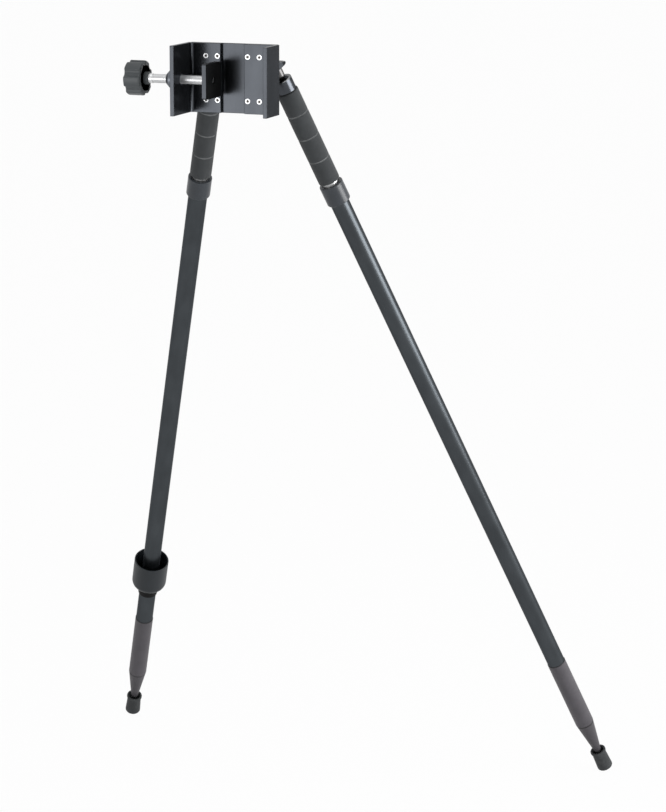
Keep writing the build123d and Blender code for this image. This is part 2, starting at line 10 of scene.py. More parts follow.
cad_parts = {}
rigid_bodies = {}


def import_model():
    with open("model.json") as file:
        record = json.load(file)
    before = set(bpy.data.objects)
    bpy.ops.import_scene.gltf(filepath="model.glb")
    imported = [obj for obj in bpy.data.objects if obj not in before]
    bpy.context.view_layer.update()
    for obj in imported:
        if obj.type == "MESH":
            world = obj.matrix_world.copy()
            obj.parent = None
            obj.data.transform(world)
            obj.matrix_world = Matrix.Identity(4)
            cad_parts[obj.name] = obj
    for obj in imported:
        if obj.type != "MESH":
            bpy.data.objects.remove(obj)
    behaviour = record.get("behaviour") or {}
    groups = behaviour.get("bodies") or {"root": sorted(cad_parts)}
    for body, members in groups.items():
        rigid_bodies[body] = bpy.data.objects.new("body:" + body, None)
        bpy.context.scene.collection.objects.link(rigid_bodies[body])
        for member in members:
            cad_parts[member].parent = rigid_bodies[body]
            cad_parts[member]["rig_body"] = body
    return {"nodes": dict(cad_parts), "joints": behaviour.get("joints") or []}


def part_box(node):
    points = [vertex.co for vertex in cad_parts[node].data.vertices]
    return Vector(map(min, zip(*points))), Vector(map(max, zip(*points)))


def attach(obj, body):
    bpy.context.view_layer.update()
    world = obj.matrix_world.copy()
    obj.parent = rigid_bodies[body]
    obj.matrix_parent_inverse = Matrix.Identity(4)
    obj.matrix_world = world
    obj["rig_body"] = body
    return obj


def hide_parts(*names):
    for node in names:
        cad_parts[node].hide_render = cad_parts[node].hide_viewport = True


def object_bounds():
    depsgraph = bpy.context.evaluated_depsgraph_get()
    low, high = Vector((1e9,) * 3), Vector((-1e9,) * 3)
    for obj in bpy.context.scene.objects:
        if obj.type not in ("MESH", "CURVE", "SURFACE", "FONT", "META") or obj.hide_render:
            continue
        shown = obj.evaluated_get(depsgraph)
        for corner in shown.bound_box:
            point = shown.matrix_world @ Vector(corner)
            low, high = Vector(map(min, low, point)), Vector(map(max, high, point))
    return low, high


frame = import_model()
cad_low, cad_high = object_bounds()


# Base plate
# A strip of black-anodised aluminium bar, sawn to length and deburred. The jaws' feet are screwed to
# its front and the hinge blocks to its back, so only a narrow dark band of it shows between the feet.
class Signal:
    """A shader socket. Sums on signals add Math nodes, and node() adds any other kind of node."""

    def __init__(self, tree, socket=None):
        self.tree = tree
        self.socket = socket

    def node(self, kind, settings=None, sockets=None, out=0):
        made = self.tree.nodes.new("ShaderNode" + kind)
        for name, value in (settings or {}).items():
            setattr(made, name, value)
        for name, value in (sockets or {}).items():
            if isinstance(value, Signal):
                self.tree.links.new(value.socket, made.inputs[name])
            else:
                made.inputs[name].default_value = value
        return Signal(self.tree, made.outputs[out])

    def math(self, operation, first, second):
        return self.node("Math", {"operation": operation}, {0: first, 1: second})

    def __add__(self, other):
        return self.math("ADD", self, other)

    def __radd__(self, other):
        return self.math("ADD", other, self)

    def __sub__(self, other):
        return self.math("SUBTRACT", self, other)

    def __rsub__(self, other):
        return self.math("SUBTRACT", other, self)

    def __mul__(self, other):
        return self.math("MULTIPLY", self, other)

    def __rmul__(self, other):
        return self.math("MULTIPLY", other, self)


def new_finish(name, constants):
    """A material on the standard shader: returns it, its shader and the piece's own coordinates."""
    material = bpy.data.materials.new(name)
    material.use_nodes = True
    tree = material.node_tree
    shader = tree.nodes["Principled BSDF"]
    for socket, value in constants.items():
        shader.inputs[socket].default_value = value
    own = Signal(tree).node("Attribute", {"attribute_name": "own"}, out="Vector")
    return material, shader, own


def feed(shader, signals):
    for socket, signal in signals.items():
        signal.tree.links.new(signal.socket, shader.inputs[socket])


def noise(own, across, along, detail=2.0):
    """Noise from 0 to 1, with so many blotches a metre across the piece and along it."""
    at = own.node("VectorMath", {"operation": "MULTIPLY"}, {0: own, 1: (across, across, along)})
    return own.node("TexNoise", None, {"Vector": at, "Scale": 1.0, "Detail": detail})


def levels(signal, low, high):
    """Nought below the low level, one above the high one, and an even rise between."""
    return signal.node("MapRange", None, {"Value": signal, "From Min": low, "From Max": high})


def blend(share, first, second):
    """A colour between two, by a share from 0 to 1."""
    return share.node("Mix", {"data_type": "RGBA"}, {0: share, 6: first, 7: second}, out=2)


def bump(height, depth, strength=1.0):
    return height.node("Bump", None, {"Height": height, "Distance": depth, "Strength": strength})


def rubbed_edges(own, width):
    """One along outer edges, where handling rubs the finish, and nought on open surfaces."""
    rounded = own.node("Bevel", {"samples": 6}, {"Radius": width})
    flat = own.node("NewGeometry", out="Normal")
    facing = own.node("VectorMath", {"operation": "DOT_PRODUCT"}, {0: rounded, 1: flat}, out="Value")
    return levels(1 - facing, 0.03, 0.3)


def part_of(own, letter):
    """One coordinate of a piece's own place."""
    return own.node("SeparateXYZ", None, {0: own}, out=letter)


def tinted(value, red=1.0, blue=1.0):
    """A grey of some lightness, with its share of red and of blue."""
    return (value * red, value, value * blue, 1)


def anodised(name, shade, roughness, line_pitch, wear, red=0.93, blue=1.12, haze=0.07, lip_and_highlight_to=None):
    """Black-anodised aluminium: drawing lines, a hazy skin, bare metal at rubbed edges, and a bare lip
    painted bright as a highlight.
    """
    material, shader, own = new_finish(name, {
        "Metallic": 1.0,
        "Specular Tint": dyed_glance,
        "Sheen Weight": haze,
        "Sheen Roughness": 0.5,
        "Sheen Tint": oxide_haze,
    })
    lines = noise(own, 1 / line_pitch, 6)
    cloud = noise(own, 60, 25, detail=4)
    specks = levels(noise(own, 1500, 1500, detail=3), 0.66, 0.78)
    rubbed = rubbed_edges(own, 0.5 * mm) * levels(noise(own, 420, 420, detail=4), 0.46, 0.68) * wear
    dyed = blend(levels(cloud, 0.3, 0.7), tinted(shade * 0.88, red, blue), tinted(shade * 1.12, red, blue))
    if lip_and_highlight_to is not None:
        # The lip is bare metal, painted brighter as a highlight on the rim.
        lip_and_highlight_band = levels(lip_and_highlight_to - part_of(own, "Z"), 0.0, 0.3 * mm)
        dyed = blend(lip_and_highlight_band, dyed, lip_metal_and_highlight)
    feed(shader, {
        "Base Color": blend(rubbed, dyed, rubbed_metal),
        "Roughness": roughness + 0.06 * (cloud - 0.5) + 0.03 * (lines - 0.5) + 0.03 * specks,
        "Normal": bump(lines, 2e-6, 0.4),
    })
    return material


def round_off(bm, geom, radius, segments=3, affect="EDGES"):
    """Rounds edges of a mesh, or corners of an outline."""
    bmesh.ops.bevel(bm, geom=geom, offset=radius, segments=segments, profile=0.5, affect=affect, material=-1)


def settle(bm, node, material, to_own=None, ease=0.0):
    """Makes a finished piece of a mesh, in the place of the node that it stands for."""
    bmesh.ops.recalc_face_normals(bm, faces=bm.faces[:])
    own = bm.verts.layers.float_vector.new("own")
    for vert in bm.verts:
        vert[own] = to_own @ vert.co if to_own else vert.co
    for face in bm.faces:
        face.smooth = True
    for edge in bm.edges:
        edge.smooth = edge.calc_face_angle(0.0) < crease_angle
    mesh = bpy.data.meshes.new(f"{node}_finished")
    bm.to_mesh(mesh)
    bm.free()
    mesh.materials.append(material)
    piece = bpy.data.objects.new(mesh.name, mesh)
    bpy.context.scene.collection.objects.link(piece)
    if ease:
        rounding = piece.modifiers.new("eased edges", "BEVEL")
        rounding.width = ease
        rounding.segments = 3
        rounding.limit_method = "ANGLE"
        rounding.angle_limit = crease_angle
    shading = piece.modifiers.new("even shading", "WEIGHTED_NORMAL")
    shading.keep_sharp = True
    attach(piece, frame["nodes"][node]["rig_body"])
    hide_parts(node)
    return piece


mm = 0.001
crease_angle = radians(38)
edge_break = 0.5 * mm
dyed_glance = (0.49, 0.49, 0.49, 1)
oxide_haze = (0.62, 0.68, 0.76, 1)
rubbed_metal = tinted(0.42, 0.98, 1.02)
# Bare metal at a turned lip, light enough to be a painted highlight on the rim.
lip_metal_and_highlight = tinted(0.25, 0.98, 1.02)
head_black = anodised("head_black", shade=0.040, roughness=0.22, line_pitch=0.6 * mm, wear=0.7)
plate_low, plate_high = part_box("base_plate")
plate = bmesh.new()
plate_place = Matrix.Translation((plate_low + plate_high) / 2)
bmesh.ops.create_cube(plate, size=1, matrix=plate_place @ Matrix.Diagonal((*(plate_high - plate_low), 1)))
round_off(plate, plate.edges[:], edge_break)
settle(plate, "base_plate", head_black)


# Jaws
# Two angles cut from extruded aluminium and anodised black. The deep flange on the left carries the
# clamp screw, the shallow one on the right is the fixed jaw, and four screws hold each foot.
def new_verts(made):
    return [item for item in made["geom"] if isinstance(item, bmesh.types.BMVert)]


def new_edges(made):
    return [item for item in made["geom"] if isinstance(item, bmesh.types.BMEdge)]


def draw_out(bm, way):
    """Draws a flat outline out to a solid bar."""
    bar = bmesh.ops.extrude_face_region(bm, geom=bm.faces[:])
    bmesh.ops.translate(bm, verts=new_verts(bar), vec=way)
    bmesh.ops.recalc_face_normals(bm, faces=bm.faces[:])


def pierce(bm, face, places, radius):
    """Opens round holes in a flat face, and gives the ring of edges of each."""
    towards = face.normal.copy()
    rim = face.edges[:]
    facing = towards.to_track_quat("Z", "Y").to_matrix().to_4x4()
    bmesh.ops.delete(bm, geom=[face], context="FACES_ONLY")
    rings = []
    for place in places:
        ring = bmesh.ops.create_circle(bm, cap_ends=False, segments=hole_segments, radius=radius,
                                       matrix=Matrix.Translation(place) @ facing)
        rings.append(list({edge for vert in ring["verts"] for edge in vert.link_edges}))
    bmesh.ops.triangle_fill(bm, use_beauty=True, edges=rim + sum(rings, []), normal=towards)
    return rings


def sink(bm, ring, place, inward, stages):
    """Sinks the ring of a hole through (depth, share of its width) stages, and closes its floor."""
    for depth, share in stages:
        made = bmesh.ops.extrude_edge_only(bm, edges=ring)
        bmesh.ops.translate(bm, verts=new_verts(made), vec=inward * depth)
        bmesh.ops.scale(bm, verts=new_verts(made), vec=(share, 1, share),
                        space=Matrix.Translation(-place))
        ring = new_edges(made)
    bmesh.ops.contextual_create(bm, geom=ring)


def flat_face(bm, towards):
    """The largest flat face that looks one way."""
    facing = [face for face in bm.faces if face.normal.dot(towards) > 0.999]
    return max(facing, key=bmesh.types.BMFace.calc_area)


def bore_through(bm, low_x, high_x, place, radius):
    """Drills a round hole along X through a wall between two places on X."""
    rings = []
    for towards, x in ((1, high_x), (-1, low_x)):
        face = flat_face(bm, Vector((towards, 0, 0)))
        rings += pierce(bm, face, [Vector((x, place.y, place.z))], radius)
    bmesh.ops.bridge_loops(bm, edges=sum(rings, []))


def find_joint(name):
    return next(joint for joint in frame["joints"] if joint["name"] == name)


def screw_places(side):
    """Where the four screws of one jaw's foot stand."""
    columns = (screw_far_x - screw_pitch, screw_far_x)
    return [Vector((side * x, 0, z)) for x in columns for z in (-screw_z, screw_z)]


hole_segments = 48
jaw_wall = 4.5 * mm
jaw_corner = 3.5 * mm
screw_head_radius = 3.0 * mm
screw_shank_radius = 1.5 * mm
screw_pitch = 13.6 * mm
screws_low, screws_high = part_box("jaw_screws")
screw_recess = screws_low.y
screw_far_x = screws_high.x - screw_head_radius
screw_z = screws_high.z - screw_head_radius
clamp_place = Vector(find_joint("clamp_turn")["pos_m"])
bush_shank_radius = 6.6 * mm
countersink = screw_head_radius - screw_shank_radius
for node, side in (("screw_jaw", -1), ("fixed_jaw", 1)):
    low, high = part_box(node)
    foot_end, outer = sorted((abs(low.x), abs(high.x)))
    inner = outer - jaw_wall
    jaw = bmesh.new()
    plan = [(foot_end, 0), (inner, 0), (inner, low.y), (outer, low.y), (outer, high.y), (foot_end, high.y)]
    corners = [jaw.verts.new((side * x, y, low.z)) for x, y in plan]
    jaw.faces.new(corners)
    root = corners[1]
    round_off(jaw, [root], jaw_corner, segments=8, affect="VERTICES")
    draw_out(jaw, Vector((0, 0, high.z - low.z)))
    sharp = [edge for edge in jaw.edges if edge.calc_face_angle(0.0) > crease_angle]
    round_off(jaw, sharp, edge_break)
    rings = pierce(jaw, flat_face(jaw, Vector((0, -1, 0))), screw_places(side), screw_head_radius)
    for place, ring in zip(screw_places(side), rings):
        sink(jaw, ring, place, Vector((0, 1, 0)),
             [(screw_recess, 1.0), (countersink, screw_shank_radius / screw_head_radius)])
    if node == "screw_jaw":
        bore_through(jaw, -outer, -inner, clamp_place, bush_shank_radius)
    settle(jaw, node, head_black)


# Jaw screws
# Eight countersunk M3 screws of bright plated steel, with a hexagon socket each. Their heads lie just
# below the staff's seat, and they are driven through foot and plate into the hinge blocks.
class Axis:
    """An axis that pieces are turned on: its stations run along it, and radii stand off it."""

    def __init__(self, origin, along, across):
        self.origin, self.along, self.across = origin, along, across
        rows = Matrix((across, along.cross(across), along)).to_4x4()
        self.to_own = rows @ Matrix.Translation(-origin)

    def at(self, station, radius=0.0):
        return self.origin + self.along * station + self.across * radius


def chain(bm, axis, outline, closed=False):
    """A line through (station, radius, rounding) points, with its corners rounded."""
    corners = [bm.verts.new(axis.at(point[0], point[1])) for point in outline]
    followers = corners[1:] + corners[:1] if closed else corners[1:]
    for first, second in zip(corners, followers):
        bm.edges.new((first, second))
    for corner, point in zip(corners, outline):
        rounding = point[2] if len(point) > 2 else 0
        if rounding:
            segments = 4 if rounding < 2 * mm else 10
            round_off(bm, [corner], rounding, segments, affect="VERTICES")


def turned(axis, outline, closed=False, steps=96):
    """A piece turned on an axis, from its outline of (station, radius, rounding) points."""
    bm = bmesh.new()
    chain(bm, axis, outline, closed)
    bmesh.ops.spin(bm, geom=bm.verts[:] + bm.edges[:], cent=axis.origin, axis=axis.along,
                   angle=tau, steps=steps, use_merge=True)
    bmesh.ops.remove_doubles(bm, verts=bm.verts[:], dist=hairline)
    bmesh.ops.recalc_face_normals(bm, faces=bm.faces[:])
    return bm


def join(bm, other):
    """Puts another mesh into this one."""
    mesh = bpy.data.meshes.new("other")
    other.to_mesh(mesh)
    other.free()
    bm.from_mesh(mesh)
    bpy.data.meshes.remove(mesh)


def bright_metal(name, shade, roughness, across, along, shade_and_oil_below=None, red=0.99, blue=1.01):
    """Bare or plated metal: tooling lines, cloudy plating, fine marks, and painted shade with old oil below a
    depth along Y.
    """
    material, shader, own = new_finish(name, {"Metallic": 1.0})
    lines = noise(own, across, along)
    cloud = noise(own, 140, 140, detail=4)
    marks = levels(noise(own, 900, 300, detail=3), 0.62, 0.75)
    plated = blend(levels(cloud, 0.3, 0.7), tinted(shade * 0.92, red, blue), tinted(shade * 1.05, red, blue))
    worn = blend(marks * 0.35, plated, tinted(shade * 0.6, 1.02, 0.98))
    if shade_and_oil_below is not None:
        # Past that depth the metal goes near black: painted shade inside a socket, with the colour of old
        # oil.
        socket_shade_and_oil = levels(part_of(own, "Y"), shade_and_oil_below, shade_and_oil_below + 0.25 * mm)
        worn = blend(socket_shade_and_oil, worn, tinted(0.03, 1.2, 0.8))
    feed(shader, {
        "Base Color": worn,
        "Roughness": roughness + 0.12 * (cloud - 0.5) + 0.10 * (lines - 0.5) + 0.08 * marks,
        "Normal": bump(lines, 6e-6, 0.6),
    })
    return material


hairline = 1e-7
socket_radius = 1.2 * mm
socket_depth = 1.2 * mm
socket_chamfer = 0.25 * mm
socket_turn = 0.7
head_edge = 0.15 * mm
point_chamfer = 0.3 * mm
hexagon_cuts = 7
# The screws' sockets are painted dark below the heads' faces, as painted shade and old oil.
screw_steel = bright_metal("screw_steel", shade=0.62, roughness=0.26, across=2500, along=2500,
                           shade_and_oil_below=screw_recess)
screw_length = screws_high.y - screw_recess
screws = bmesh.new()
for index, place in enumerate(screw_places(-1) + screw_places(1)):
    screw_axis = Axis(place + Vector((0, screw_recess, 0)), Vector((0, 1, 0)), Vector((1, 0, 0)))
    screw = turned(screw_axis, [
        (0, socket_radius + socket_chamfer, 0),
        (0, screw_head_radius - head_edge, 0.1 * mm),
        (head_edge, screw_head_radius - head_edge / 2, 0),
        (countersink, screw_shank_radius, 0.1 * mm),
        (screw_length - point_chamfer, screw_shank_radius, 0),
        (screw_length, screw_shank_radius - point_chamfer, 0),
        (screw_length, 0, 0),
    ], steps=6 * (hexagon_cuts + 1))
    mouth = [edge for edge in screw.edges if edge.is_boundary]
    facing = Matrix.Translation(screw_axis.at(socket_chamfer)) @ Matrix.Rotation(pi / 2, 4, "X")
    spun = Matrix.Rotation(index * socket_turn, 4, "Z")
    hexagon = bmesh.ops.create_circle(screw, cap_ends=False, segments=6, radius=socket_radius,
                                      matrix=facing @ spun)["verts"]
    sides = list({edge for vert in hexagon for edge in vert.link_edges})
    bmesh.ops.subdivide_edges(screw, edges=sides, cuts=hexagon_cuts)
    socket = [edge for edge in screw.edges if not edge.link_faces]
    bmesh.ops.bridge_loops(screw, edges=mouth + socket)
    sink(screw, socket, place, screw_axis.along, [(socket_depth - socket_chamfer, 1.0)])
    join(screws, screw)
settle(screws, "jaw_screws", screw_steel)


# Thread bush
# A turned boss with a coned end, pressed through the deep flange and anodised grey. Its thread carries
# the clamp screw.
def measure(node, axis):
    """First and last station, and smallest and largest radius, of a node about an axis."""
    own = [axis.to_own @ vert.co for vert in frame["nodes"][node].data.vertices]
    radii = [point.xy.length for point in own]
    stations = [point.z for point in own]
    return min(stations), max(stations), min(radii), max(radii)


def turned_piece(axis, node, material, outline, closed=False, steps=96):
    """A finished piece that is turned in one, with its grain about the axis."""
    return settle(turned(axis, outline, closed, steps), node, material, axis.to_own)


clamp_axis = Axis(clamp_place, Vector((1, 0, 0)), Vector((0, -1, 0)))
bush_tip, bush_end, bush_bore, bush_radius = measure("thread_bush", clamp_axis)
bush_cone = 3.6 * mm
bush_grey = anodised("bush_grey", shade=0.15, roughness=0.38, line_pitch=0.6 * mm, wear=0.6)
jaw_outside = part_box("screw_jaw")[0].x
turned_piece(clamp_axis, "thread_bush", bush_grey, [
    (bush_end, bush_bore, 0.3 * mm),
    (bush_end, bush_shank_radius, 0),
    (jaw_outside, bush_shank_radius, 0),
    (jaw_outside, bush_radius, 0),
    (bush_tip + bush_cone, bush_radius, 0.6 * mm),
    (bush_tip, bush_radius - bush_cone, 0.25 * mm),
    (bush_tip, bush_bore, 0.2 * mm),
], closed=True)


# Clamp rod
# An M10 screw of zinc-plated steel with 1.5 mm pitch, rolled over its whole length. The knob turns it, and
# a plain spigot at its inner end carries the pressure plate.
def saw_off(bm, place, outwards):
    """Saws a mesh off at a plane, drops what is beyond it and closes the cut."""
    whole = bm.verts[:] + bm.edges[:] + bm.faces[:]
    cut = bmesh.ops.bisect_plane(bm, geom=whole, dist=hairline, plane_co=place, plane_no=outwards,
                                 clear_outer=True)
    rim = [item for item in cut["geom_cut"] if isinstance(item, bmesh.types.BMEdge)]
    bmesh.ops.holes_fill(bm, edges=rim, sides=0)


def threaded(axis, start, end, radius, pitch, steps=40):
    """A rod with a broad-crested rolled thread between two stations, cut square at both ends."""
    bm = bmesh.new()
    root, flank, crest = pitch / 6, pitch / 6, pitch / 2
    core = radius - flank * sqrt(3)
    first = start - pitch
    chain(bm, axis, [
        (first, core),
        (first + root, core),
        (first + root + flank, radius),
        (first + root + flank + crest, radius),
        (first + pitch, core),
    ])
    turns = ceil((end - start) / pitch) + 2
    bmesh.ops.spin(bm, geom=bm.verts[:] + bm.edges[:], cent=axis.origin, axis=axis.along,
                   dvec=axis.along * (pitch / steps), angle=tau * turns, steps=steps * turns)
    bmesh.ops.remove_doubles(bm, verts=bm.verts[:], dist=weld)
    saw_off(bm, axis.at(start), -axis.along)
    saw_off(bm, axis.at(end), axis.along)
    return bm


weld = 1e-6
zinc = bright_metal("zinc_plate", shade=0.66, roughness=0.34, across=300, along=300)
rod_pitch = 1.5 * mm
rod_start, rod_end, _, rod_radius = measure("clamp_rod", clamp_axis)
spigot_radius = 3.0 * mm
spigot_length = 3.1 * mm
shoulder = rod_end - spigot_length
rod = threaded(clamp_axis, rod_start, shoulder, rod_radius, rod_pitch)
join(rod, turned(clamp_axis, [
    (shoulder - rod_pitch, 0, 0),
    (shoulder - rod_pitch, spigot_radius, 0),
    (rod_end, spigot_radius, 0.2 * mm),
    (rod_end, 0, 0),
], steps=48))
settle(rod, "clamp_rod", zinc, clamp_axis.to_own)


# Star knob
# A six-lobed knob moulded in black plastic with a fine spark-eroded grain. It is hollow towards the jaw,
# where a boss around the rod stands past the rim and ends at the metal hub.
def moulded(name, shade, roughness, grain, depth, red=0.92, blue=1.06, ior=1.3, worn=0.5, seams=()):
    """Moulded plastic: a fine grain, uneven gloss, polished high edges and painted shade in any seams along
    Z.
    """
    material, shader, own = new_finish(name, {"IOR": ior})
    grains = noise(own, 1 / grain, 1 / grain, detail=3)
    cloud = noise(own, 45, 45, detail=4)
    rubbed = rubbed_edges(own, 0.7 * mm) * levels(noise(own, 260, 260, detail=3), 0.40, 0.65)
    colour = blend(levels(cloud, 0.3, 0.7), tinted(shade * 0.88, red, blue), tinted(shade * 1.12, red, blue))
    colour = blend(rubbed * worn, colour, tinted(shade * 2.2, red, blue))
    for seam in seams:
        off = part_of(own, "Z") - seam
        # Painted shade: a dark band along each seam, standing in for the shade in its gap.
        seam_shade = levels(off.math("ABSOLUTE", off, 0.0), 1.6 * mm, 0.2 * mm)
        colour = blend(seam_shade * 0.8, colour, tinted(shade * 0.15, red, blue))
    feed(shader, {
        "Base Color": colour,
        "Roughness": roughness + 0.10 * (cloud - 0.5) + 0.08 * (grains - 0.5) - 0.10 * rubbed,
        "Normal": bump(grains, depth, 0.6),
    })
    return material


knob_back, boss_end, _, knob_radius = measure("clamp_knob", clamp_axis)
boss_rise = 4.7 * mm
knob_front = boss_end - boss_rise
knob_lobes = 6
knob_phase = radians(159)
groove_radius = 5.0 * mm
groove_depth = 2.8 * mm
lobe_corner = 1.2 * mm
knob_edge = 2.0 * mm
knob_web = 12.5 * mm
recess_radius = 13.6 * mm
recess_lip = 0.5 * mm
mould_draft = 0.3 * mm
boss_radius = 6.85 * mm
knob_black = moulded("knob_black", shade=0.076, roughness=0.36, grain=0.35 * mm, depth=1.2e-5,
                     red=0.9, ior=1.36)
groove_out = knob_radius + groove_radius - groove_depth
groove_cosine = (knob_radius ** 2 + groove_out ** 2 - groove_radius ** 2) / (2 * knob_radius * groove_out)
groove_x, groove_y = knob_radius * groove_cosine, knob_radius * sqrt(1 - groove_cosine ** 2)
knob = bmesh.new()
back = clamp_axis.at(knob_back)
outwards = Vector((0, cos(knob_phase), sin(knob_phase)))
sideways = clamp_axis.along.cross(outwards)
lobe_turn = tau / knob_lobes - 2 * Vector((groove_x, groove_y)).angle(Vector((1, 0)))
groove_turn = 2 * Vector((groove_out - groove_x, groove_y)).angle(Vector((1, 0)))
first = knob.verts.new(back + outwards * groove_x - sideways * groove_y)
groove = bmesh.ops.spin(knob, geom=[first], cent=back + outwards * groove_out,
                        axis=clamp_axis.along, angle=-groove_turn, steps=12)
bmesh.ops.spin(knob, geom=groove["geom_last"], cent=back, axis=clamp_axis.along, angle=lobe_turn, steps=8)
bmesh.ops.spin(knob, geom=knob.verts[:] + knob.edges[:], cent=back, axis=clamp_axis.along, use_duplicate=True,
               angle=tau * (knob_lobes - 1) / knob_lobes, steps=knob_lobes - 1)
bmesh.ops.remove_doubles(knob, verts=knob.verts[:], dist=weld)
lips = [vert for vert in knob.verts if vert.calc_edge_angle() > radians(30)]
round_off(knob, lips, lobe_corner, segments=5, affect="VERTICES")
bmesh.ops.contextual_create(knob, geom=knob.edges[:])
draw_out(knob, clamp_axis.along * (knob_front - knob_back))
rims = [edge for face in knob.faces if abs(face.normal.x) > 0.9 for edge in face.edges]
round_off(knob, rims, knob_edge, segments=6)
front = flat_face(knob, clamp_axis.along)
outline_count = len(front.edges)
bmesh.ops.delete(knob, geom=[front], context="FACES_ONLY")
floor_station = knob_back + knob_web
join(knob, turned(clamp_axis, [
    (knob_front, recess_radius + recess_lip, 0),
    (knob_front, recess_radius, 0.4 * mm),
    (floor_station, recess_radius - mould_draft, 1.0 * mm),
    (floor_station, boss_radius + mould_draft, 1.0 * mm),
    (boss_end, boss_radius, 0.5 * mm),
    (boss_end, 0, 0),
], steps=outline_count))
bmesh.ops.bridge_loops(knob, edges=[edge for edge in knob.edges if edge.is_boundary])
settle(knob, "clamp_knob", knob_black, clamp_axis.to_own)


# Knob hub
# A turned ferrule of zinc-plated steel between the knob's boss and the bare rod. It tapers towards
# the jaw and is pinned on the rod with the knob.
hub_start, hub_end, _, hub_radius = measure("knob_hub", clamp_axis)
hub_lip = 0.25 * mm
turned_piece(clamp_axis, "knob_hub", zinc, [
    (hub_start, rod_radius, 0),
    (hub_start, hub_radius, 0.3 * mm),
    ((hub_start + hub_end) / 2, hub_radius, 0.6 * mm),
    (hub_end, rod_radius + hub_lip, 0.1 * mm),
    (hub_end, rod_radius, 0),
], closed=True)


# Pressure pad
# A square plate of black-anodised aluminium that the clamp screw pushes on the staff, with a sheet of
# black rubber bonded to its face. A screw at the bottom of the hole holds it on the rod's spigot.
def rubber(name, shade, roughness, grain, gloss):
    """Black rubber: a dull, slightly bloomed surface with a fine moulded grain."""
    material, shader, own = new_finish(name, {"IOR": 1.45, "Specular IOR Level": gloss})
    grains = noise(own, 1 / grain, 1 / grain, detail=3)
    bloom = levels(noise(own, 70, 70, detail=5), 0.42, 0.75)
    colour = blend(bloom, tinted(shade, 0.92, 1.05), tinted(shade * 1.9, 0.95, 1.04))
    feed(shader, {
        "Base Color": colour,
        "Roughness": roughness + 0.12 * bloom + 0.08 * (grains - 0.5),
        "Normal": bump(grains, 3e-5, 0.6),
    })
    return material


def square_plate(low, high, corner, edge):
    """A square plate that faces along X, with rounded corners and eased rims."""
    bm = bmesh.new()
    plan = [(low.y, low.z), (high.y, low.z), (high.y, high.z), (low.y, high.z)]
    corners = [bm.verts.new((low.x, y, z)) for y, z in plan]
    bm.faces.new(corners)
    round_off(bm, corners, corner, segments=6, affect="VERTICES")
    draw_out(bm, Vector((high.x - low.x, 0, 0)))
    rims = {rim for face in bm.faces if abs(face.normal.x) > 0.9 for rim in face.edges}
    round_off(bm, list(rims), edge)
    return bm


pad_black = anodised("pad_black", shade=0.042, roughness=0.30, line_pitch=0.6 * mm, wear=0.8)
pad_rubber = rubber("pad_rubber", shade=0.005, roughness=0.72, grain=0.3 * mm, gloss=0.06)
pad_corner = 1.5 * mm
plate_edge = 0.35 * mm
rubber_edge = 0.25 * mm
pad_hole_radius = 4.5 * mm
pad_hole_depth = 2.1 * mm
low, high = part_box("pressure_plate")
pressure_plate = square_plate(low, high, pad_corner, plate_edge)
front_face = flat_face(pressure_plate, Vector((1, 0, 0)))
hole = Vector((high.x, clamp_place.y, clamp_place.z))
ring = pierce(pressure_plate, front_face, [hole], pad_hole_radius)[0]
sink(pressure_plate, ring, hole, Vector((-1, 0, 0)), [(pad_hole_depth, 1.0)])
settle(pressure_plate, "pressure_plate", pad_black)

low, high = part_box("pad_rubber")
rubber_face = square_plate(low, high, pad_corner, rubber_edge)
bore_through(rubber_face, low.x, high.x, clamp_place, pad_hole_radius)
settle(rubber_face, "pad_rubber", pad_rubber)


# Pad screw
# A slotted cheese-head screw of bright steel that holds the pressure plate on the spigot, so that the plate
# stays square while the rod turns in it.
def clean_copy(node):
    """The node's own shape, with its triangles merged into whole faces."""
    bm = bmesh.new()
    bm.from_mesh(frame["nodes"][node].data)
    bmesh.ops.remove_doubles(bm, verts=bm.verts[:], dist=weld)
    bmesh.ops.dissolve_limit(bm, angle_limit=radians(0.5), verts=bm.verts[:], edges=bm.edges[:])
    return bm


bright_steel = bright_metal("bright_steel", shade=0.62, roughness=0.26, across=200, along=2500)
pad_screw_edge = 0.12 * mm
settle(clean_copy("pad_screw"), "pad_screw", bright_steel, clamp_axis.to_own, ease=pad_screw_edge)


# Hinge blocks
# Two black-anodised blocks screwed behind the base plate. The tongue of each is flat on top and square to its
# leg below, and a spot face in it takes the nut of the ball stud.
hinge_black = anodised("hinge_black", shade=0.026, roughness=0.30, line_pitch=0.5 * mm, wear=0.8)
for node in ("left_hinge_block", "right_hinge_block"):
    settle(clean_copy(node), node, hinge_black, ease=edge_break)


# Ball studs
# Each leg hangs from a turned stud of dull steel: a ball, a slim neck, a stout shank that cones out to the
# tongue, and an M6 thread through it.
def arc(centre, radius, start, end, count):
    """(station, radius) points on a circle about a station of the axis, by angles from the axis."""
    angles = [start + (end - start) * step / count for step in range(count + 1)]
    return [(centre - radius * cos(angle), radius * sin(angle)) for angle in angles]


legs = {}
for name in ("left", "right"):
    ball_place = Vector(find_joint(f"{name}_splay")["pos_m"])
    down = Vector(find_joint(f"{name}_extend")["axis"]).normalized()
    legs[name] = Axis(ball_place, down, down.cross(Vector((0, 0, 1))).normalized())

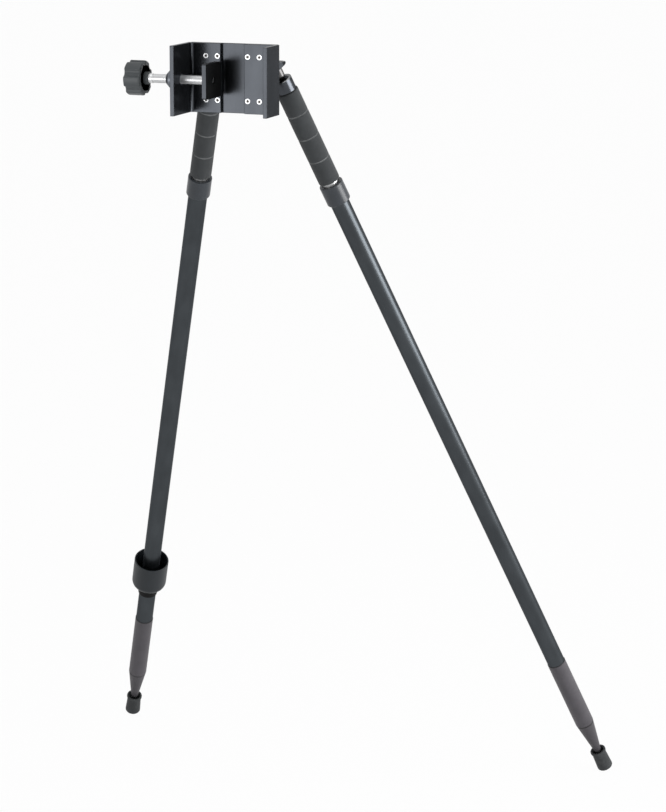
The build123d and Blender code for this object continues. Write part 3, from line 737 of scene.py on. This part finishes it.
neck_radius = 2.75 * mm
shank_radius = 5.4 * mm
shank_length = 12.3 * mm
shank_cone = 4.5 * mm
stud_radius = 3.0 * mm
stud_pitch = 1.0 * mm
tongue_front = -26.3 * mm
plain_stud = 2.0 * mm
stud_steel = bright_metal("stud_steel", shade=0.10, roughness=0.36, across=200, along=2500,
                          red=1.02, blue=1.0)
for name, leg in legs.items():
    node = f"{name}_ball_stud"
    stud_end, ball_radius, _, _ = measure(node, leg)
    neck_angle = Vector((sqrt(ball_radius ** 2 - neck_radius ** 2), neck_radius)).angle(Vector((1, 0)))
    stud = turned(leg, [
        *arc(0, ball_radius, pi, neck_angle, 24),
        (tongue_front + shank_length + shank_cone, neck_radius, 0.6 * mm),
        (tongue_front + shank_length, shank_radius, 1.2 * mm),
        (tongue_front, shank_radius, 0.2 * mm),
        (tongue_front, stud_radius, 0),
        (tongue_front - plain_stud, stud_radius, 0),
        (tongue_front - plain_stud, 0, 0),
    ], steps=64)
    join(stud, threaded(leg, stud_end, tongue_front - plain_stud, stud_radius, stud_pitch, steps=32))
    settle(stud, node, stud_steel, leg.to_own)


# Stud nuts
# A plain M6 hexagon nut behind each tongue, of bright steel with chamfered corners, clamps the stud.
nut_flats = 10.0 * mm
nut_chamfer = 0.8 * mm
nut_face_radius = nut_flats / 2 - 0.1 * mm
for name, leg in legs.items():
    node = f"{name}_stud_nut"
    nut_top, nut_foot, _, nut_radius = measure(node, leg)
    nut = turned(leg, [
        (nut_top, stud_radius, 0.3 * mm),
        (nut_top, nut_face_radius, 0),
        (nut_top + nut_chamfer / 2, nut_radius, 0),
        (nut_foot - nut_chamfer / 2, nut_radius, 0),
        (nut_foot, nut_face_radius, 0),
        (nut_foot, stud_radius, 0),
    ], closed=True, steps=72)
    for flat in range(6):
        outwards = Matrix.Rotation(flat * tau / 6, 3, leg.along) @ leg.across
        saw_off(nut, leg.origin + outwards * nut_flats / 2, outwards)
    settle(nut, node, bright_steel, leg.to_own)


# Ball seats
# A thin shell of black acetal between each ball and its socket keeps the joint tight and quiet.
acetal_black = moulded("acetal_black", shade=0.005, roughness=0.40, grain=0.4 * mm, depth=1e-5)
seat_mouth = radians(56.5)
seat_drain = radians(155)
seat_play = 0.05 * mm
seat_wall = 1.45 * mm
seat_inside = ball_radius + seat_play
seat_outside = seat_inside + seat_wall
shell = arc(0, seat_outside, seat_mouth, seat_drain, 20) + arc(0, seat_inside, seat_drain, seat_mouth, 20)
for name, leg in legs.items():
    turned_piece(leg, f"{name}_ball_seat", acetal_black, shell, closed=True, steps=64)


# Socket caps
# A turned cap, anodised glossy black with a bare lip painted bright as a highlight, closes each socket over
# the ball. Its coned mouth lets the neck swing, and its skirt screws down on the plug.
cap_rounding = 0.9 * mm
cap_lip = measure("left_socket_cap", legs["left"])[0] + cap_rounding
cap_black = anodised("cap_black", shade=0.060, roughness=0.26, line_pitch=0.5 * mm, wear=0.6, haze=0.0,
                     lip_and_highlight_to=cap_lip)
cap_mouth_wall = 2.5 * mm
cap_skirt_wall = 1.1 * mm
cap_flare = 3.0 * mm
neck_room = 2.85 * mm
throat_radius = neck_radius + neck_room
cavity = seat_outside + seat_play
for name, leg in legs.items():
    node = f"{name}_socket_cap"
    cap_top, cap_end, _, cap_radius = measure(node, leg)
    turned_piece(leg, node, cap_black, [
        (cap_top, cap_radius - cap_mouth_wall, 0.4 * mm),
        (cap_top + cap_flare, throat_radius, 0.4 * mm),
        *arc(0, cavity, asin(throat_radius / cavity), pi / 2, 10),
        (0, cap_radius - cap_skirt_wall, 0),
        (cap_end, cap_radius - cap_skirt_wall, 0.2 * mm),
        (cap_end, cap_radius, 0.35 * mm),
        (cap_top, cap_radius, cap_rounding),
    ], closed=True)


# Socket plugs
# The lower half of each socket is a plug pinned in the end of the inner tube. Only the edge of its flange
# shows, between the cap and the grip.
inner_tube_radius = 9.5 * mm
plug_bore = 8.2 * mm
plug_flange_thickness = 1.5 * mm
plug_length = 30 * mm
plug_play = 0.02 * mm
cap_gap = 0.5 * mm
plug_radius = cap_radius - cap_skirt_wall - plug_play
flange_start = cap_end + cap_gap
flange_end = flange_start + plug_flange_thickness
for name, leg in legs.items():
    turned_piece(leg, f"{name}_socket_plug", hinge_black, [
        *arc(0, cavity, pi, pi / 2, 12),
        (0, plug_radius, 0),
        (flange_start, plug_radius, 0),
        (flange_start, inner_tube_radius, 0.2 * mm),
        (flange_end, inner_tube_radius, 0.2 * mm),
        (flange_end, plug_bore, 0),
        (flange_end + plug_length, plug_bore, 1.0 * mm),
        (flange_end + plug_length, 0, 0),
    ])


# Inner tubes
# The upper part of each leg is a drawn aluminium tube, left bare and satin. It shows as a bright ring
# between the grip and the lock, and over its length when the leg is drawn out.
def drawn_tube(leg, node, material):
    """A plain length of tube with its sawn ends deburred."""
    start, end, bore, radius = measure(node, leg)
    turned_piece(leg, node, material, [
        (start, bore, tube_edge),
        (start, radius, tube_edge),
        (end, radius, tube_edge),
        (end, bore, tube_edge),
    ], closed=True)


tube_edge = 0.3 * mm
bare_aluminium = bright_metal("bare_aluminium", shade=0.46, roughness=0.36, across=3500, along=8)
for name, leg in legs.items():
    drawn_tube(leg, f"{name}_inner_tube", bare_aluminium)


# Guide bushes
# A bush of natural nylon pressed in the lower end of each inner tube keeps it central in the outer tube.
def nylon_white():
    material, shader, own = new_finish("natural_nylon", {"IOR": 1.53})
    cloud = noise(own, 300, 300, detail=3)
    feed(shader, {
        "Base Color": blend(cloud, (0.58, 0.56, 0.51, 1), (0.68, 0.66, 0.61, 1)),
        "Roughness": 0.42 + 0.2 * (cloud - 0.5),
        "Normal": bump(noise(own, 2200, 2200), 1e-5, 0.5),
    })
    return material


natural_nylon = nylon_white()
guide_collar = 15 * mm
for name, leg in legs.items():
    node = f"{name}_guide_bush"
    start, end, bore, radius = measure(node, leg)
    turned_piece(leg, node, natural_nylon, [
        (start, bore, 0.3 * mm),
        (start, plug_bore, 0.6 * mm),
        (end - guide_collar, plug_bore, 0),
        (end - guide_collar, radius, 0.3 * mm),
        (end, radius, 1.0 * mm),
        (end, bore, 0.3 * mm),
    ], closed=True)


# Foam grips
# A sleeve of black closed-cell foam slipped over each inner tube under the cap, in four finger lengths with a
# pressed groove between them, and a pale painted highlight along each groove. It is dull, with fine open
# cells at the skin.
def foam_black(last_groove):
    material, shader, own = new_finish("foam_black", {
        "IOR": 1.35,
        "Sheen Weight": 0.15,
        "Sheen Roughness": 0.6,
    })
    cells = own.node("TexVoronoi", {"feature": "F1"}, {"Vector": own, "Scale": 1900.0})
    skin = noise(own, 900, 900, detail=4)
    cloud = noise(own, 80, 60, detail=4)
    pits = levels(cells, 0.25, 0.6)
    station = part_of(own, "Z")
    beside = station.math("PINGPONG", station - last_groove, groove_pitch / 2)
    above_end = levels(last_groove + groove_half_width * 2 - station, 0, mm)
    # Painted highlight: a pale band along each groove, for light on its lips.
    groove_highlight = (1 - levels(beside, 0.5 * mm, 1.0 * mm)) * above_end
    patchy = 0.45 + 0.55 * levels(noise(own, 110, 30), 0.35, 0.6)
    colour = blend(levels(cloud, 0.3, 0.7), tinted(0.032, 0.90, 1.08), tinted(0.046, 0.90, 1.08))
    # Painted shade: the open cells are coloured darker, as shade in the pits.
    pits_shaded = blend(pits * 0.5, colour, tinted(0.022, 0.88, 1.06))
    feed(shader, {
        "Base Color": blend(groove_highlight * patchy, pits_shaded, tinted(0.17, 0.96, 1.02)),
        "Roughness": 0.86 + 0.2 * (skin - 0.5),
        "Normal": bump(skin - 0.6 * pits, 6e-5, 0.7),
    })
    return material


grooves = 3
groove_pitch = 30 * mm
groove_half_width = 0.8 * mm
finger_groove = 1.0 * mm
finger_crown = 0.15 * mm
finger_rounding = 10 * mm
grip_edge = 1.2 * mm
grip_end = measure("left_foam_grip", legs["left"])[1]
foam = foam_black(grip_end - groove_pitch)
for name, leg in legs.items():
    node = f"{name}_foam_grip"
    start, end, bore, radius = measure(node, leg)
    outline = [(start, bore, 0), (start, radius - finger_crown, grip_edge)]
    finger_start = start
    for count in range(grooves, -1, -1):
        finger_end = end - count * groove_pitch
        outline.append(((finger_start + finger_end) / 2, radius, finger_rounding))
        if count:
            outline += [
                (finger_end - groove_half_width, radius - finger_crown, 0.5 * mm),
                (finger_end, radius - finger_groove, 0.25 * mm),
                (finger_end + groove_half_width, radius - finger_crown, 0.5 * mm),
            ]
        finger_start = finger_end
    outline += [(end, radius - finger_crown, grip_edge), (end, bore, 0)]
    grip = turned_piece(leg, node, foam, outline, closed=True)


# Twist locks
# A moulded collar at the top of each outer tube screws down on a threaded sleeve and squeezes a split collet
# on the inner tube. The collet shows as a dark ring inside the collar's mouth.
lock_black = moulded("lock_black", shade=0.036, roughness=0.33, grain=0.5 * mm, depth=6e-6,
                     red=0.86, blue=1.2, ior=1.42)
collar_lip = 2.5 * mm
collar_wall = 1.4 * mm
collet_room = 4.5 * mm
collet_split = 1.0 * mm
collet_gap = 0.2 * mm
outer_tube_radius = 11.0 * mm
lock_bore = outer_tube_radius + 0.3 * mm
collet_bore = outer_tube_radius + 0.2 * mm
for name, leg in legs.items():
    node = f"{name}_lock_collar"
    start, end, mouth, radius = measure(node, leg)
    bore = radius - collar_wall
    turned_piece(leg, node, lock_black, [
        (start, mouth, 0.3 * mm),
        (start, radius, 0.6 * mm),
        (end, radius, 1.2 * mm),
        (end, lock_bore, 0.2 * mm),
        (end - collar_lip, lock_bore, 0),
        (end - collar_lip, bore, 0),
        (start + collet_room, bore, 0),
        (start + collet_room, collet_bore, 0),
    ], closed=True)

    node = f"{name}_thread_sleeve"
    start, end, bore, radius = measure(node, leg)
    turned_piece(leg, node, lock_black, [
        (start, bore, 0),
        (start, radius, 0.3 * mm),
        (end, radius, 0.3 * mm),
        (end, bore, 0),
    ], closed=True)

    node = f"{name}_collet"
    start, end, bore, radius = measure(node, leg)
    collet = turned(leg, [
        (start, bore, 0.1 * mm),
        (start, mouth - collet_gap, 0.15 * mm),
        (end, radius, 0.15 * mm),
        (end, bore, 0),
    ], closed=True)
    beside = leg.along.cross(leg.across)
    saw_off(collet, leg.origin + beside * collet_split / 2, -beside)
    half = collet.verts[:] + collet.edges[:] + collet.faces[:]
    other = bmesh.ops.duplicate(collet, geom=half)
    half_turn = Matrix.Rotation(pi, 3, leg.along)
    bmesh.ops.rotate(collet, verts=new_verts(other), cent=leg.origin, matrix=half_turn)
    settle(collet, node, lock_black, leg.to_own)


# Outer tubes
# The lower part of each leg is a drawn 22 mm aluminium tube, anodised satin black. The lock is screwed to
# its top and the moulded tip is driven over its lower end.
tube_black = anodised("tube_black", shade=0.058, roughness=0.33, line_pitch=0.4 * mm, wear=0.4,
                      red=0.9, blue=1.09)
for name, leg in legs.items():
    drawn_tube(leg, f"{name}_outer_tube", tube_black)


# Leg tips
# A sleeve moulded in dark grey plastic ends each leg, with a tapered nose screwed below it. A steel spike
# runs down through both.
# The seams between tube, sleeve and nose get painted shade.
tip_seams = [measure("left_tip_sleeve", legs["left"])[0], measure("left_tip_cone", legs["left"])[0]]
# The nose is the sleeve's plastic, painted darker as shade.
tip_grey, nose_shaded_grey = (
    moulded(name, shade, roughness=0.48, grain=0.5 * mm, depth=2e-5, red=1.07, blue=1.12, ior=1.36,
            seams=tip_seams)
    for name, shade in (("tip_grey", 0.069), ("nose_shaded_grey", 0.056)))
tip_bore = 8.0 * mm
tip_bore_length = 45 * mm
spike_radius = 4.0 * mm
tip_edge = 0.8 * mm
nose_end_radius = 4.7 * mm
spike_point = 5 * mm
spike_end_radius = 1.2 * mm
for name, leg in legs.items():
    node = f"{name}_tip_sleeve"
    start, end, _, radius = measure(node, leg)
    tube_end = measure(f"{name}_outer_tube", leg)[1]
    spike_start = measure(f"{name}_tip_spike", leg)[0]
    turned_piece(leg, node, tip_grey, [
        (tube_end + tip_bore_length, 0, 0),
        (tube_end + tip_bore_length, tip_bore, 0),
        (tube_end, tip_bore, 0),
        (tube_end, outer_tube_radius, 0),
        (start, outer_tube_radius, 0.1 * mm),
        (start, radius, 0.45 * mm),
        (end - tip_edge, radius, 0.3 * mm),
        (end, radius - tip_edge, 0),
        (end, spike_radius, 0),
        (spike_start, spike_radius, 0),
        (spike_start, 0, 0),
    ])

    node = f"{name}_tip_cone"
    start, end, bore, radius = measure(node, leg)
    turned_piece(leg, node, nose_shaded_grey, [
        (start, bore, 0),
        (start, radius - tip_edge, 0),
        (start + tip_edge, radius, 0.3 * mm),
        (end, nose_end_radius, 0.4 * mm),
        (end, bore, 0),
    ], closed=True)

    node = f"{name}_tip_spike"
    start, end, _, radius = measure(node, leg)
    turned_piece(leg, node, bright_steel, [
        (start, 0, 0),
        (start, radius, 0.3 * mm),
        (end - spike_point, radius, 0.5 * mm),
        (end, spike_end_radius, 0.4 * mm),
        (end, 0, 0),
    ], steps=64)


# Rubber feet
# A cap of black rubber pushed on each spike for hard ground: a rimmed cup, and a body that widens to a flat
# tread.
foot_black = rubber("foot_black", shade=0.032, roughness=0.60, grain=0.45 * mm, gloss=0.3)
foot_rim = 3.0 * mm
foot_waist = 1.1 * mm
foot_rounding = 2.5 * mm
cup_wall = 2.4 * mm
cup_depth = 9.0 * mm
for name, leg in legs.items():
    node = f"{name}_rubber_foot"
    start, end, _, radius = measure(node, leg)
    turned_piece(leg, node, foot_black, [
        (start + cup_depth, 0, 0),
        (start + cup_depth, radius - cup_wall, 0.8 * mm),
        (start, radius - cup_wall, 0.5 * mm),
        (start, radius, 0.6 * mm),
        (start + foot_rim, radius, 0.5 * mm),
        (start + foot_rim, radius - foot_waist, 0.4 * mm),
        (end, radius, foot_rounding),
        (end, 0, 0),
    ])


# Bumper collar
# An open cup moulded in black plastic sits low on the left leg, on a bush that slides along the tube. It
# stops the legs from knocking together when they are folded.
bumper_black = moulded("bumper_black", shade=0.017, roughness=0.46, grain=0.5 * mm, depth=1.5e-5,
                       red=0.78, blue=1.2, ior=1.36, worn=0.2)
# The bush is painted near black, as the shade under the cup's foot.
bush_shadow_black = moulded("bush_shadow_black", shade=0.003, roughness=0.60, grain=0.4 * mm, depth=1e-5, ior=1.2)
bumper_wall = 1.6 * mm
bumper_floor = 14.0 * mm
bumper_cone = 8.0 * mm
bumper_land = 1.0 * mm
bush_taper = 1.2 * mm
left_leg = legs["left"]
bush_top, bush_foot, bush_inside, bush_outside = measure("left_bumper_bush", left_leg)
start, end, _, radius = measure("left_bumper_collar", left_leg)
turned_piece(left_leg, "left_bumper_collar", bumper_black, [
    (start, radius - bumper_wall, 0.6 * mm),
    (start, radius, 0.7 * mm),
    (end - bumper_cone, radius, 3.5 * mm),
    (end, bush_outside + bumper_land, 0.4 * mm),
    (end, bush_outside, 0),
    (end - bumper_floor, bush_outside, 0),
    (end - bumper_floor, radius - bumper_wall, 1.2 * mm),
], closed=True)
turned_piece(left_leg, "left_bumper_bush", bush_shadow_black, [
    (bush_top, bush_inside, 0.2 * mm),
    (bush_top, bush_outside, 0.5 * mm),
    (end, bush_outside, 0),
    (bush_foot, bush_outside - bush_taper, 0.5 * mm),
    (bush_foot, bush_inside, 0.2 * mm),
], closed=True)


# Studio
# A pale floor, almost clear to the camera so that the white backdrop and a leg drawn out below it show, a low
# soft light in front on the left that the head mirrors, two lights on the right for the tubes and the jaw's
# root, and a large one above. The camera is where the photograph's was.
def soft_light(name, place, target, width, height, brightness):
    """A rectangular soft light of an even brightness, aimed at a point."""
    lamp = bpy.data.lights.new(name, "AREA")
    lamp.shape = "RECTANGLE"
    lamp.size, lamp.size_y = width, height
    lamp.energy = brightness * pi * width * height
    light = bpy.data.objects.new(name, lamp)
    aim = Vector(target) - Vector(place)
    light.matrix_world = Matrix.Translation(place) @ aim.to_track_quat("-Z", "Y").to_matrix().to_4x4()
    bpy.context.scene.collection.objects.link(light)


def seen(signal):
    """One for rays from the camera, and for those that polish or glass sends on."""
    path = signal.node("LightPath")
    ways = path.socket.node.outputs
    mirrored = Signal(signal.tree, ways["Is Glossy Ray"]) + Signal(signal.tree, ways["Is Transmission Ray"])
    total = Signal(signal.tree, ways["Is Camera Ray"]) + mirrored
    return total.math("MINIMUM", total, 1.0)


floor_size = 60.0
floor_clearness = 0.97
floor_white = bpy.data.materials.new("floor_white")
floor_white.use_nodes = True
floor_tree = floor_white.node_tree
floor_shader = floor_tree.nodes["Principled BSDF"]
floor_shader.inputs["Base Color"].default_value = (0.86, 0.86, 0.86, 1)
floor_shader.inputs["Roughness"].default_value = 0.9
floor_shader.inputs["Specular IOR Level"].default_value = 0.0
paper = Signal(floor_tree, floor_shader.outputs[0])
clear = paper.node("BsdfTransparent", None, {"Color": (1, 1, 1, 1)})
page = paper.node("MixShader", None, {0: seen(paper) * floor_clearness, 1: paper, 2: clear})
floor_tree.links.new(page.socket, floor_tree.nodes["Material Output"].inputs["Surface"])
floor = bmesh.new()
bmesh.ops.create_grid(floor, x_segments=1, y_segments=1, size=floor_size / 2,
                      matrix=Matrix.Translation((0, 0, cad_low.z)))
floor_mesh = bpy.data.meshes.new("studio_floor")
floor.to_mesh(floor_mesh)
floor.free()
floor_mesh.materials.append(floor_white)
floor_piece = bpy.data.objects.new("studio_floor", floor_mesh)
bpy.context.scene.collection.objects.link(floor_piece)

ambient = 0.33
world = bpy.data.worlds.new("studio")
bpy.context.scene.world = world
world.use_nodes = True
sky = world.node_tree.nodes["Background"]
sky.inputs["Color"].default_value = (1, 1, 1, 1)
around = Signal(world.node_tree)
feed(sky, {"Strength": ambient + (1 - ambient) * seen(around)})

soft_light("front_left", (-0.95, -2.3, -0.42), (0, 0, -0.05), width=1.3, height=0.95, brightness=4.0)
soft_light("right_side", (2.13, 0.27, -0.24), (0.05, 0.05, -0.1), width=1.6, height=0.8, brightness=10.5)
soft_light("front_right", (1.75, -1.75, -0.32), (-0.05, 0, -0.02), width=0.7, height=0.8, brightness=4.0)
soft_light("overhead", (0.2, -0.5, 2.2), (0, 0.2, -0.4), width=1.8, height=1.8, brightness=1.5)

azimuth, elevation, roll = radians(19.0), radians(12.482), radians(0.233)
camera_place = Vector((1.0460, -2.6966, 0.2752))
backwards = Vector((sin(azimuth) * cos(elevation), -cos(azimuth) * cos(elevation), sin(elevation)))
level = Vector((cos(azimuth), sin(azimuth), 0))
upright = backwards.cross(level)
right = level * cos(roll) + upright * sin(roll)
up = upright * cos(roll) - level * sin(roll)
lens = bpy.data.cameras.new("photograph")
lens.sensor_fit = "AUTO"
lens.sensor_width = 24
lens.lens = 78.2
camera = bpy.data.objects.new("photograph", lens)
camera.matrix_world = Matrix.Translation(camera_place) @ Matrix((right, up, backwards)).transposed().to_4x4()
bpy.context.scene.collection.objects.link(camera)
bpy.context.scene.camera = camera
bpy.context.scene.view_settings.view_transform = "Standard"
